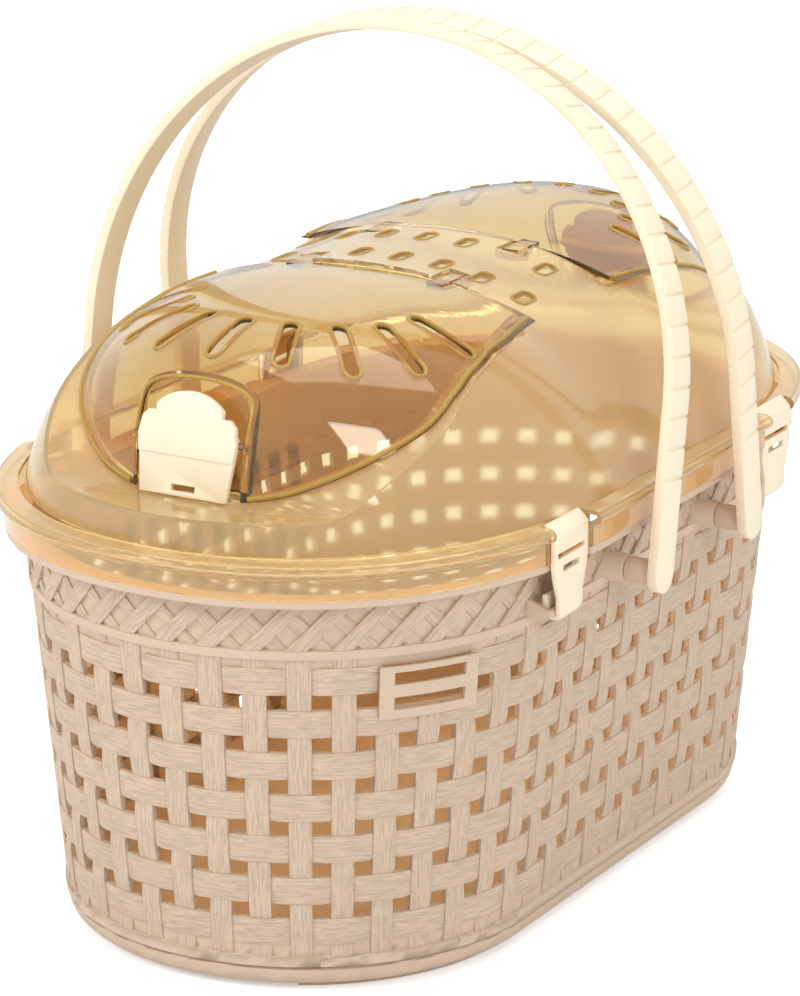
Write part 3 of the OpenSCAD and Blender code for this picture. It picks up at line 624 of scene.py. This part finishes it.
def skirt_point(t, off):
    c, s = np.cos(t), np.sin(t)
    p = 2 / SKIRT_N
    n = np.hypot(c * SKIRT_END, s * SKIRT_HW)
    x = SKIRT_HW * np.sign(c) * np.abs(c) ** p + off * c * SKIRT_END / n
    y = SKIRT_END * np.sign(s) * np.abs(s) ** p + np.sign(s) * (SKIRT_HL - SKIRT_END) + off * s * SKIRT_HW / n
    return x, y


SKIRT_PROFILE = [(-7.5, 211.8), (0.0, 211.9), (2.2, 211.4), (3.6, 210.0), (4.0, 208.4), (3.7, 206.8),
                 (2.6, 205.7), (1.0, 205.1), (0.2, 204.6), (0.0, 203.0), (0.0, 196.0), (-0.3, 194.8),
                 (-0.8, 194.3), (-1.8, 194.3), (-2.2, 194.8), (-2.2, 204.0), (-1.6, 206.6), (0.8, 207.2),
                 (1.8, 208.4), (1.2, 209.6), (-1.0, 209.9), (-7.5, 209.8), (-7.5, 211.8)]


def skirt_place(u, v):
    k = (v + 1) / 2 * (len(SKIRT_PROFILE) - 1)
    off = np.interp(k, range(len(SKIRT_PROFILE)), [p[0] for p in SKIRT_PROFILE])
    z = np.interp(k, range(len(SKIRT_PROFILE)), [p[1] for p in SKIRT_PROFILE])
    x, y = skirt_point((u + 1) * math.pi + 1e-4, off)
    return x, y, z


skirt = sheet("skirt", 288, len(SKIRT_PROFILE) - 1, skirt_place)
CLIP_Y, CLIP_W, CLIP_FACE, SEAT_HALF = 107.5, 34.0, 140.3, 17.6
fittings = []
for sx in (1, -1):
    for sy in (1, -1):
        room = [(CLIP_FACE, 150), (200, 150), (200, 230), (136.0, 230), (136.0, LID_TOP + FOOT - 0.3),
                (137.0, LID_TOP + FOOT - 0.3), (CLIP_FACE, LID_TOP + FOOT - 3.6)]
        notch = prism("notch", room, CLIP_W, start=0)
        for v in notch.data.vertices:
            x, z, w = v.co
            v.co = (sx * x, sy * CLIP_Y * MM + w - CLIP_W / 2 * MM, z)
        notch.data.update()
        only(notch)
        bpy.ops.object.mode_set(mode="EDIT")
        bpy.ops.mesh.select_all(action="SELECT")
        bpy.ops.mesh.normals_make_consistent(inside=False)
        bpy.ops.object.mode_set(mode="OBJECT")
        cut(skirt, notch)
        inner, outer = sx * (CLIP_FACE - SHELL), sx * CLIP_FACE
        near, far = sy * CLIP_Y - SEAT_HALF, sy * CLIP_Y + SEAT_HALF
        fittings.append(prism("clip_seat", [(inner, near), (outer, near), (outer, far), (inner, far)], 13.8,
                              start=RIM_Z + FOOT + 0.1))


def tube(name, line, radius, closed=False):
    """A round bead of the moulding along points in mm."""
    curve = bpy.data.curves.new(name, "CURVE")
    curve.dimensions = "3D"
    curve.bevel_depth = radius * MM
    curve.bevel_resolution = 3
    curve.use_fill_caps = not closed
    run = curve.splines.new("POLY")
    run.points.add(len(line) - 1)
    for point, place in zip(run.points, line):
        point.co = (*(Vector(place) * MM), 1)
    run.use_cyclic_u = closed
    made = bpy.data.objects.new(name, curve)
    bpy.context.collection.objects.link(made)
    only(made)
    bpy.ops.object.convert(target="MESH")
    return bpy.context.object


def dome_surface_z(x, y):
    t = np.clip(np.abs(x) / np.maximum(dome_half(y), 1), 0, 1)
    return DOME_Z + dome_rise(y) * (1 - t ** LID_N) ** (1 / LID_N)


# Twelve rimmed vents in two rows, their places in steps of the vent pitch, and the hinge lugs and notches.
VENT_PITCH, VENT_Y = 22, 20
VENTS = (-3.2, -2.2, -1.2, -0.2, 0.8, 2.75)
HINGE_X, HINGE_Y, HINGE_Z = 38, 28, 291.3 + FOOT
LUG_R, LUG_T, LUG_OUT = 3.1, 2.2, 6.5


def vent_rim(k):
    outline = stadium(k * VENT_PITCH, VENT_Y, 16, 7.5, steps=8)
    line = [(x, y, float(dome_surface_z(x, y)) + FOOT - 0.35) for x, y in outline]
    return tube("vent_rim", line, 0.8, closed=True)


holes = []
for half in ("rear", "front"):
    made = [prism("vent", stadium(k * VENT_PITCH, VENT_Y, 15, 6.5), 60, start=260) for k in VENTS]
    rims = [vent_rim(k) for k in VENTS]
    for m in (-1, 1):
        left, right = m * HINGE_X - 5.5, m * HINGE_X + 5.5
        made.append(block("hinge_notch", (left, 22.5, 279), (right, BRIDGE + 1, 339)))
        for k in (-1, 1):
            round_lug = [(HINGE_Y + LUG_R * math.cos(a), HINGE_Z + LUG_R * math.sin(a))
                         for a in np.linspace(0, 2 * math.pi, 24, endpoint=False)]
            start = m * HINGE_X + k * LUG_OUT - LUG_T / 2
            rims.append(prism("hinge_lug", round_lug, LUG_T, axis="X", start=start))
    if half == "front":
        made = [turned(piece) for piece in made]
        rims = [turned(piece) for piece in rims]
    holes += made
    fittings += rims
cut(dome, joined(holes, "holes"))

SHADE_DEPTH = 3.2


def clear_plastic(name, colour, roughness, haze, index=1.46):
    """Tinted clear plastic: light that falls straight through it takes on its tint, as in thin walls."""
    made = bpy.data.materials.new(name)
    made.use_nodes = True
    n, l = made.node_tree.nodes, made.node_tree.links
    shader = n["Principled BSDF"]
    skin = n.new("ShaderNodeGroup")
    skin.node_tree = moulded_skin
    skin.inputs["Colour"].default_value = (*colour, 1)
    skin.inputs["Drift"].default_value = 0.02
    skin.inputs["Pebble size"].default_value = 60
    skin.inputs["Roughness"].default_value = roughness
    l.new(skin.outputs["Colour"], shader.inputs["Base Color"])
    bump = n.new("ShaderNodeBump")
    bump.inputs["Strength"].default_value = 0.08
    bump.inputs["Distance"].default_value = 0.4 * MM
    l.new(skin.outputs["Height"], bump.inputs["Height"])
    l.new(bump.outputs["Normal"], shader.inputs["Normal"])
    shader.inputs["Roughness"].default_value = roughness
    shader.inputs["IOR"].default_value = index
    shader.inputs["Transmission Weight"].default_value = 1.0 - haze
    path = n.new("ShaderNodeLightPath")
    through = n.new("ShaderNodeBsdfTransparent")
    through.inputs["Color"].default_value = (*[c ** SHADE_DEPTH for c in colour], 1)
    mix = n.new("ShaderNodeMixShader")
    l.new(path.outputs["Is Shadow Ray"], mix.inputs["Fac"])
    l.new(shader.outputs["BSDF"], mix.inputs[1])
    l.new(through.outputs["BSDF"], mix.inputs[2])
    l.new(mix.outputs[0], n["Material Output"].inputs["Surface"])
    return made


AMBER_SHELL = (0.94, 0.81, 0.51)
AMBER_DOOR = (0.89, 0.73, 0.40)
AMBER_BEAD = (0.66, 0.46, 0.13)
shell_plastic = clear_plastic("amber shell", AMBER_SHELL, 0.06, 0.17)
door_plastic = clear_plastic("amber door", AMBER_DOOR, 0.01, 0.02)
bead_plastic = clear_plastic("amber bead", AMBER_BEAD, 0.10, 0.55, index=1.25)

for piece in (dome, skirt, *fittings):
    piece.data.materials.clear()
    is_rim = piece.name.startswith("vent_rim")
    piece.data.materials.append(bead_plastic if is_rim else shell_plastic)
lid = joined([dome, skirt, *fittings], "lid_body")
smooth(lid, 30)
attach(lid, "lid")
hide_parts("lid_shell")
for node in ("front_hinge_pin_left", "front_hinge_pin_right", "rear_hinge_pin_left", "rear_hinge_pin_right"):
    pin = finished(node, node + "_round", "lid", edge=0.25)
    pin.data.materials.clear()
    pin.data.materials.append(shell_plastic)

# Doors. Two clear amber mouldings, glossier than the lid, each with nine rimmed
# slots in a ring, a seat for the latch in its steep face and two hinge fingers.
SEAT_W = 27.5
LATCH_Y, LATCH_Z, LATCH_LEAN = -201.0, 227.3, math.radians(12)


def seat_to_lid(piece):
    """Moves a mesh modelled in the latch seat's own mm-sized axes to its place on the front door."""
    c, s = math.cos(LATCH_LEAN), math.sin(LATCH_LEAN)
    for v in piece.data.vertices:
        x, y, z = v.co
        v.co = (x, y * c + z * s + LATCH_Y * MM, -y * s + z * c + (LATCH_Z + FOOT) * MM)
    piece.data.update()
    return piece


def door_across(y, z):
    """Half width of the door's skin at a height."""
    t = np.clip((z - DOOR_Z) / np.maximum(door_rise(y), 0.1), 0, 1)
    return door_half(y) * np.clip(1 - t ** DOOR_N, 0, 1) ** (1 / DOOR_N)


def door_surface_z(x, y):
    t = np.clip(np.abs(x) / np.maximum(door_half(y), 1), 0, 1)
    return DOOR_Z + door_rise(y) * (1 - t ** DOOR_N) ** (1 / DOOR_N)


def seat_outline(grow):
    """Front outline of the latch seat, arched over the thumb tab, grown by some mm."""
    w, top = SEAT_W + grow, 52 + grow
    turns = np.linspace(0.02, math.pi - 0.02, 17)
    arch = [(w * math.cos(a), top - 12 + 12 * math.sin(a) ** 0.8) for a in turns]
    return [(-w, -12), (w, -12), *arch]


def on_door(x, z):
    """Point of the door's outer skin over the seat outline, in the lid's axes, mm."""
    ys = np.linspace(-208.9, -120, 300)
    high = LATCH_Z + z * math.cos(LATCH_LEAN)
    return x, float(np.interp(high, door_surface_z(x, ys), ys)), high + FOOT


SLOT_STEP, SLOT_RING, SLOT_Y = 21.3, 72, -95
BEADS = ("slot_rim", "edge_bead", "seat_bead")


def slots_and_rims():
    """Nine round-ended slots fanned over the door, and the raised rim round each."""
    slots, rims = [], []
    for k in range(-4, 5):
        a = k * SLOT_STEP
        cx, cy = SLOT_RING * math.sin(math.radians(a)), SLOT_Y - SLOT_RING * math.cos(math.radians(a))
        slots.append(prism("slot", stadium(cx, cy, 33, 6.5, a), 90, start=230))
        outline = stadium(cx, cy, 34.8, 8.3, a, steps=12)
        line = [(x, y, float(door_surface_z(x, y)) + FOOT - 0.3) for x, y in outline]
        rims.append(tube("slot_rim", line, 1.0, closed=True))
    return slots, rims


def edge_bead(m):
    """The bead along one long edge of the door, where it meets the lid's ledge."""
    line = []
    for t in np.linspace(0, 1, 48):
        y = -(BRIDGE + 3.2) - (203.6 - BRIDGE - 3.2) * math.sin(t * math.pi / 2)
        z = float(ledge_z(y)) + 1.7
        line.append((m * (door_across(y, z) - 0.5), y, z + FOOT))
    return tube("edge_bead", line, 1.25)


def seat_bead(m):
    """Half of the bead round the latch seat, from its pivot up over the arch."""
    low = [on_door(m * (SEAT_W + 1.4), z) for z in (26, 30, 34, 38)]
    arch = [on_door(m * x, z) for x, z in seat_outline(1.4)[2:11] if z > 25]
    return tube("seat_bead", low + arch, 0.85)


def pivot_knob(m):
    place = Vector(on_door(m * (SEAT_W + 1.4), 25)) * MM
    bpy.ops.object.select_all(action="DESELECT")
    bpy.ops.mesh.primitive_uv_sphere_add(segments=16, ring_count=8, radius=2.0 * MM, location=place)
    only(bpy.context.object)
    bpy.ops.object.transform_apply(location=True, rotation=False, scale=False)
    return bpy.context.object


def hinge_finger(m):
    nose = [(-HINGE_Y + 3.4 * math.cos(a), HINGE_Z + 3.4 * math.sin(a))
            for a in np.linspace(math.pi / 2, -math.pi / 2, 14)]
    root = [(-47.8, HINGE_Z - 1), (-47.8, HINGE_Z + 3.4)]
    return prism("hinge_finger", nose + root, 9, axis="X", start=m * HINGE_X - 4.5)


def make_door():
    shell = door_solid("door_shell", 0)
    cut(shell, block("rear_part", (-200, -BRIDGE - 1.8, 100), (200, 300, 400)))
    cut(shell, prism("under", over_ledge(30, 0.3, above=False), 400, axis="X", start=-200))
    cut(shell, door_solid("inside", SHELL))
    seat = seat_to_lid(prism("latch_seat", seat_outline(SHELL), 30 + SHELL, axis="Y", start=-30))
    cut(seat, seat_to_lid(prism("hollow", seat_outline(0), 60, axis="Y", start=-60)))
    cut(seat, door_solid("outside", 0.02), "INTERSECT")
    cut(seat, prism("under", over_ledge(30, 0.3, above=False), 400, axis="X", start=-200))
    cut(shell, seat_to_lid(prism("seat_room", seat_outline(0), 60, axis="Y", start=-60)))
    cut(shell, seat, "UNION")
    slots, trims = slots_and_rims()
    cut(shell, joined(slots, "slots"))
    for m in (-1, 1):
        trims += [edge_bead(m), seat_bead(m), pivot_knob(m), hinge_finger(m)]
    for piece in (shell, *trims):
        piece.data.materials.clear()
        piece.data.materials.append(bead_plastic if piece.name.startswith(BEADS) else door_plastic)
    return joined([shell, *trims], "front_door_body")


front = make_door()
smooth(front, 30)
rear = front.copy()
rear.data = front.data.copy()
bpy.context.collection.objects.link(rear)
rear.name = "rear_door_body"
turned(rear)
for piece, end in ((front, "front"), (rear, "rear")):
    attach(piece, end + "_door")
    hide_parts(end + "_door")
    pin = finished(end + "_latch_pin", end + "_latch_pin_round", end + "_door", edge=0.25)
    pin.data.materials.clear()
    pin.data.materials.append(door_plastic)

# Latches. A cream rocking plate in each door seat, with an arched thumb tab, a
# thicker upper half and a window at its foot that drops over the lid's catch.
CREAM = (0.896, 0.785, 0.585)
cream_plastic = plastic("cream moulding", CREAM, 0.36, 0.03, 700, 0.05, specular=0.5, subsurface=0.15)
for end in ("front", "rear"):
    latch = finished(end + "_latch", end + "_latch_plate", end + "_latch", edge=0.6)
    latch.data.materials.clear()
    latch.data.materials.append(cream_plastic)

# Side clips. Four cream clips hook round bars under the tub rim and snap their
# sloped lips over the lid's flange.
for end in ("front", "rear"):
    for side in ("left", "right"):
        name = f"clip_{end}_{side}"
        clip = finished(name, name + "_moulding", name, edge=0.5)
        clip.data.materials.clear()
        clip.data.materials.append(cream_plastic)

# Carrying handles. Two cream bands, grooved across every centimetre and a half so
# that they bend, pinned to bosses on the tub and leaning together at the top.
for end in ("front", "rear"):
    body = end + "_handle"
    handle = finished(body, body + "_band", body, edge=0.7, angle=40)
    handle.data.materials.clear()
    handle.data.materials.append(cream_plastic)
    for side in ("left", "right"):
        node = f"pin_{end}_{side}"
        pin = finished(node, node + "_round", body, edge=0.4)
        pin.data.materials.clear()
        pin.data.materials.append(taupe_plain)

# Stage: a plain pale floor, soft lamps, a white background for the camera and a
# camera where the photograph was taken from.
bpy.ops.object.select_all(action="DESELECT")
bpy.ops.mesh.primitive_plane_add(size=30, location=(0, 0, -0.0003))
floor = bpy.context.object
floor.name = "floor"
paper = bpy.data.materials.new("white paper")
paper.use_nodes = True
n, l = paper.node_tree.nodes, paper.node_tree.links
shader = n["Principled BSDF"]
shader.inputs["Base Color"].default_value = (0.93, 0.93, 0.93, 1)
shader.inputs["Roughness"].default_value = 0.9
shader.inputs["Specular IOR Level"].default_value = 0.1
shader.inputs["Emission Color"].default_value = (1, 1, 1, 1)
seen = n.new("ShaderNodeLightPath")
glow = n.new("ShaderNodeMath")
glow.operation = "MULTIPLY"
glow.inputs[1].default_value = 0.40
l.new(seen.outputs["Is Camera Ray"], glow.inputs[0])
l.new(glow.outputs[0], shader.inputs["Emission Strength"])
floor.data.materials.append(paper)

world = bpy.data.worlds.new("studio")
bpy.context.scene.world = world
world.use_nodes = True
n, l = world.node_tree.nodes, world.node_tree.links
sky = n["Background"]
sky.inputs["Color"].default_value = (1, 1, 1, 1)
sky.inputs["Strength"].default_value = 0.72
white = n.new("ShaderNodeBackground")
white.inputs["Color"].default_value = (1, 1, 1, 1)
white.inputs["Strength"].default_value = 1.0
path = n.new("ShaderNodeLightPath")
seen = n.new("ShaderNodeMath")
seen.operation = "MAXIMUM"
l.new(path.outputs["Is Camera Ray"], seen.inputs[0])
l.new(path.outputs["Is Transmission Ray"], seen.inputs[1])
shown = n.new("ShaderNodeMath")
shown.operation = "MAXIMUM"
l.new(seen.outputs[0], shown.inputs[0])
l.new(path.outputs["Is Glossy Ray"], shown.inputs[1])
mix = n.new("ShaderNodeMixShader")
l.new(shown.outputs[0], mix.inputs["Fac"])
l.new(sky.outputs[0], mix.inputs[1])
l.new(white.outputs[0], mix.inputs[2])
l.new(mix.outputs[0], n["World Output"].inputs["Surface"])


def lamp(name, place, size, watts, aim=(0, 0, 0.18)):
    data = bpy.data.lights.new(name, "AREA")
    data.shape = "RECTANGLE"
    data.size, data.size_y = size
    data.energy = watts
    made = bpy.data.objects.new(name, data)
    bpy.context.collection.objects.link(made)
    made.location = place
    made.rotation_euler = (Vector(aim) - Vector(place)).to_track_quat("-Z", "Y").to_euler()
    return made


lamp("window_left", (-1.3, -2.0, 1.7), (0.9, 0.9), 26)
lamp("window_right", (2.1, -1.4, 1.6), (0.8, 0.8), 18)
lamp("overhead", (0.2, 0.4, 2.4), (1.6, 1.6), 20)

camera_data = bpy.data.cameras.new("camera")
camera = bpy.data.objects.new("camera", camera_data)
bpy.context.collection.objects.link(camera)
azimuth, elevation = 0.518, 0.299
level = math.cos(elevation)
back = Vector((math.sin(azimuth) * level, -math.cos(azimuth) * level, math.sin(elevation)))
camera.location = Vector((-0.018362, 0.018942, 0.163572 + FOOT * MM)) + back * 2.29561
camera.rotation_mode = "QUATERNION"
camera.rotation_quaternion = (-back).to_track_quat("-Z", "Y")
camera_data.sensor_fit = "AUTO"
camera_data.sensor_width = 36
camera_data.lens = 4664.87 * 36 / 996
camera_data.clip_start, camera_data.clip_end = 0.05, 100
bpy.context.scene.camera = camera
bpy.context.scene.view_settings.view_transform = "Standard"
